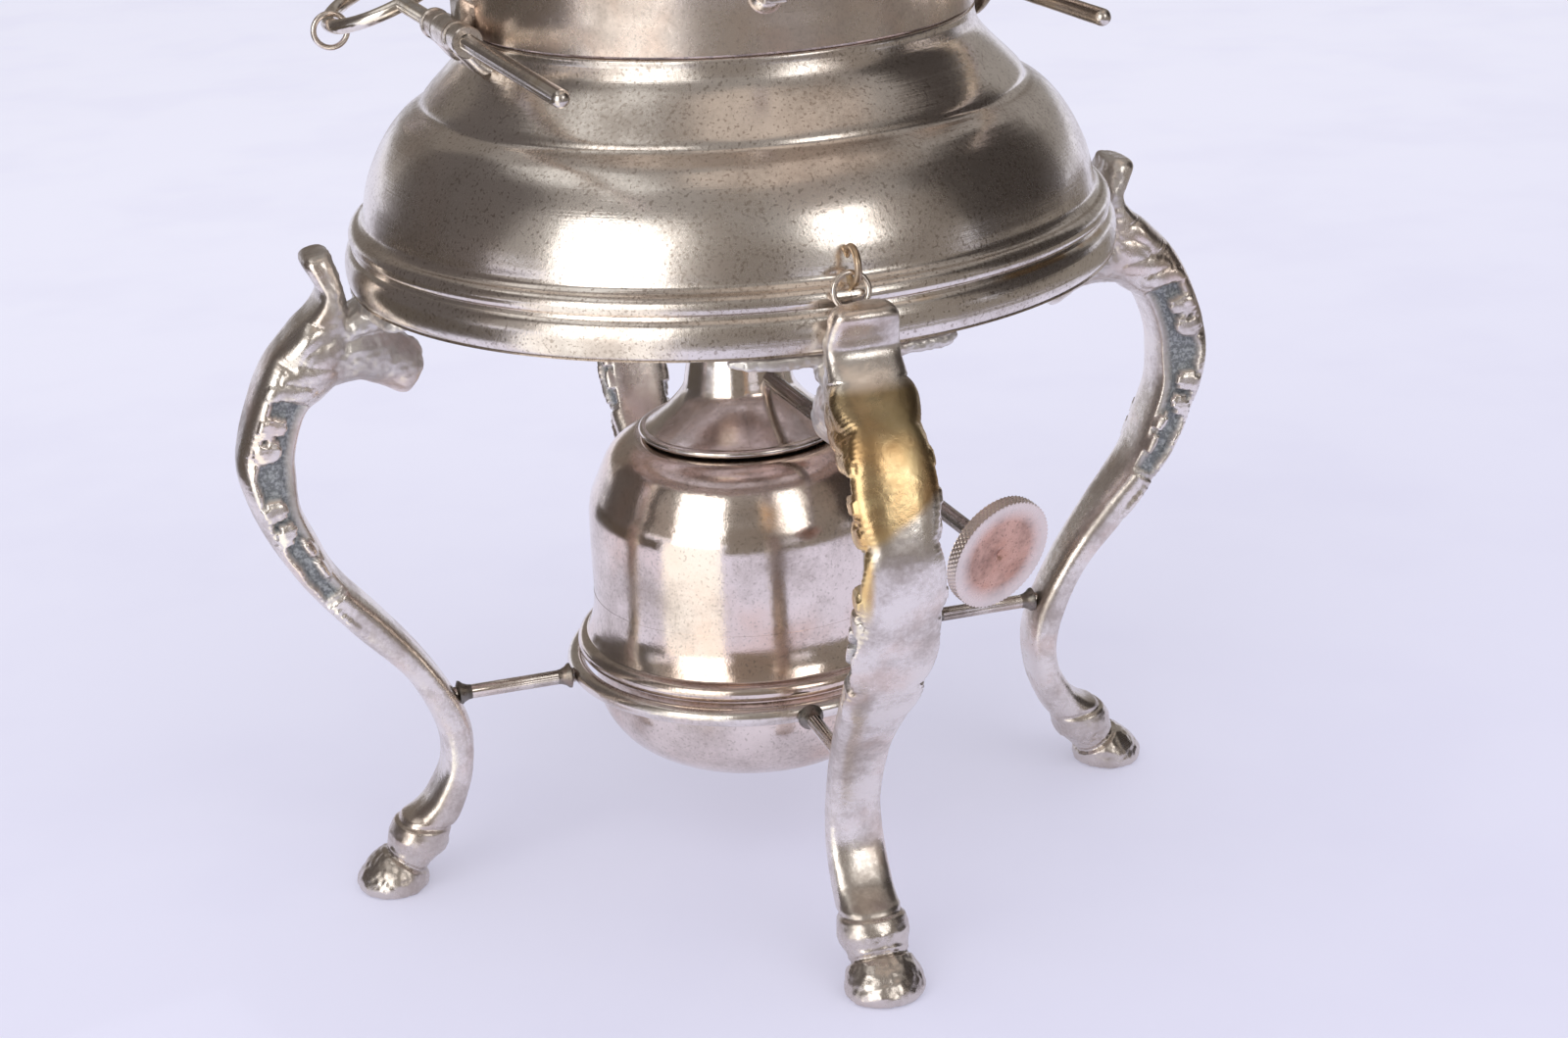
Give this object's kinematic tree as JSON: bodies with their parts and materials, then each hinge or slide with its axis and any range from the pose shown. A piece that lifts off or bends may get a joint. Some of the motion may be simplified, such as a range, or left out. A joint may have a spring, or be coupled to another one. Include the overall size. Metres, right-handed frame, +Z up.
{
  "type": "spirit kettle on stand",
  "caption": "Silver-plated spirit kettle that tilts on a footed hood with hinge pins, a hinged lid, a swing handle and a spirit burner with a wick winder.",
  "frame": {"origin": "On the floor, at the centre of the stand's axis.", "axes": "+Z up. The front leg points along -Y and the right leg, near the spout, along +X."},
  "size_m": [0.2002, 0.2002, 0.3097],
  "materials": {
    "silver_plate": "tarnished silver plate, soft satin reflections",
    "copper_tint": "silver plate worn to a coppery tint",
    "brass_worn": "plate worn through to brass, dull",
    "ebonised_wood": "black stained wood, waxed",
    "cotton_wick": "woven cotton"
  },
  "bodies": {
    "stand": {"stand_hood": "silver_plate", "leg_front": "silver_plate", "leg_right": "silver_plate", "leg_back": "silver_plate", "leg_left": "silver_plate", "burner_ring": "silver_plate", "ring_spokes": "silver_plate", "left_stand_knuckles": "silver_plate", "right_stand_knuckles": "silver_plate", "chain_staple": "brass_worn"},
    "staple_link": {"staple_link": "silver_plate"},
    "kettle": {"kettle_body": "copper_tint", "kettle_base": "copper_tint", "kettle_left_hook": "silver_plate", "kettle_right_knuckle": "silver_plate", "spout": "copper_tint", "handle_ear_front": "silver_plate", "handle_ear_back": "silver_plate", "lid_hinge_leaf": "silver_plate", "lid_hinge_pin": "brass_worn"},
    "lid": {"lid_cover": "copper_tint", "lid_bezel": "copper_tint", "lid_leaf": "silver_plate", "lid_finial": "ebonised_wood", "finial_nut": "brass_worn"},
    "handle": {"handle_bail": "silver_plate", "handle_grip": "ebonised_wood", "grip_ferrules": "brass_worn"},
    "left_pin": {"left_pin": "silver_plate"},
    "right_pin": {"right_pin": "silver_plate"},
    "pin_link": {"pin_link": "silver_plate"},
    "burner": {"flask_body": "copper_tint", "flask_bowl": "copper_tint", "flask_bead": "copper_tint", "flask_neck": "brass_worn"},
    "burner_cap": {"cap_cone": "copper_tint", "wick_tube": "brass_worn"},
    "winder": {"winder_shaft": "silver_plate", "winder_knob": "copper_tint", "wick_wheel": "brass_worn"},
    "wick": {"wick": "cotton_wick"}
  },
  "joints": [
    {"name": "kettle_tilt", "type": "hinge", "parent": "stand", "child": "kettle", "pos_m": [0.05237, 0.00366, 0.172], "axis": [-0.0698, 0.9976, 0], "range_deg": [0, 50]},
    {"name": "lid_hinge", "type": "hinge", "parent": "kettle", "child": "lid", "pos_m": [-0.03322, 0.00349, 0.2396], "axis": [-0.1045, -0.9945, 0], "range_deg": [0, 100]},
    {"name": "handle_swing", "type": "hinge", "parent": "kettle", "child": "handle", "pos_m": [0, 0, 0.2282], "axis": [0.1045, 0.9945, 0], "range_deg": [-80, 45]},
    {"name": "left_pin_pull", "type": "slide", "parent": "stand", "child": "left_pin", "axis": [-0.0698, 0.9976, 0], "range_m": [0, 0.084]},
    {"name": "right_pin_pull", "type": "slide", "parent": "stand", "child": "right_pin", "axis": [-0.0698, 0.9976, 0], "range_m": [0, 0.072]},
    {"name": "pin_link_swing", "type": "hinge", "parent": "left_pin", "child": "pin_link", "pos_m": [-0.06781, 0.04438, 0.16713], "axis": [0.0698, -0.9976, 0], "range_deg": [-60, 60]},
    {"name": "staple_link_swing", "type": "hinge", "parent": "stand", "child": "staple_link", "pos_m": [0.001, -0.0748, 0.1356], "axis": [0, -0.9781, 0.2079], "range_deg": [-20, 75]},
    {"name": "burner_lift", "type": "slide", "parent": "stand", "child": "burner", "axis": [0, 0, 1], "range_m": [0, 0.016]},
    {"name": "cap_lift", "type": "slide", "parent": "burner", "child": "burner_cap", "axis": [0, 0, 1], "range_m": [0, 0.012]},
    {"name": "winder_turn", "type": "hinge", "parent": "burner_cap", "child": "winder", "pos_m": [0, 0, 0.102], "axis": [-0.3334, 0.9061, 0.2605], "range_deg": [0, 150]},
    {"name": "wick_travel", "type": "slide", "parent": "burner_cap", "child": "wick", "axis": [0, 0, 1], "range_m": [0, 0.006]}
  ],
  "couplings": [
    {"joint": "wick_travel", "follows": "winder_turn", "m_per_rad": 0.00213}
  ]
}
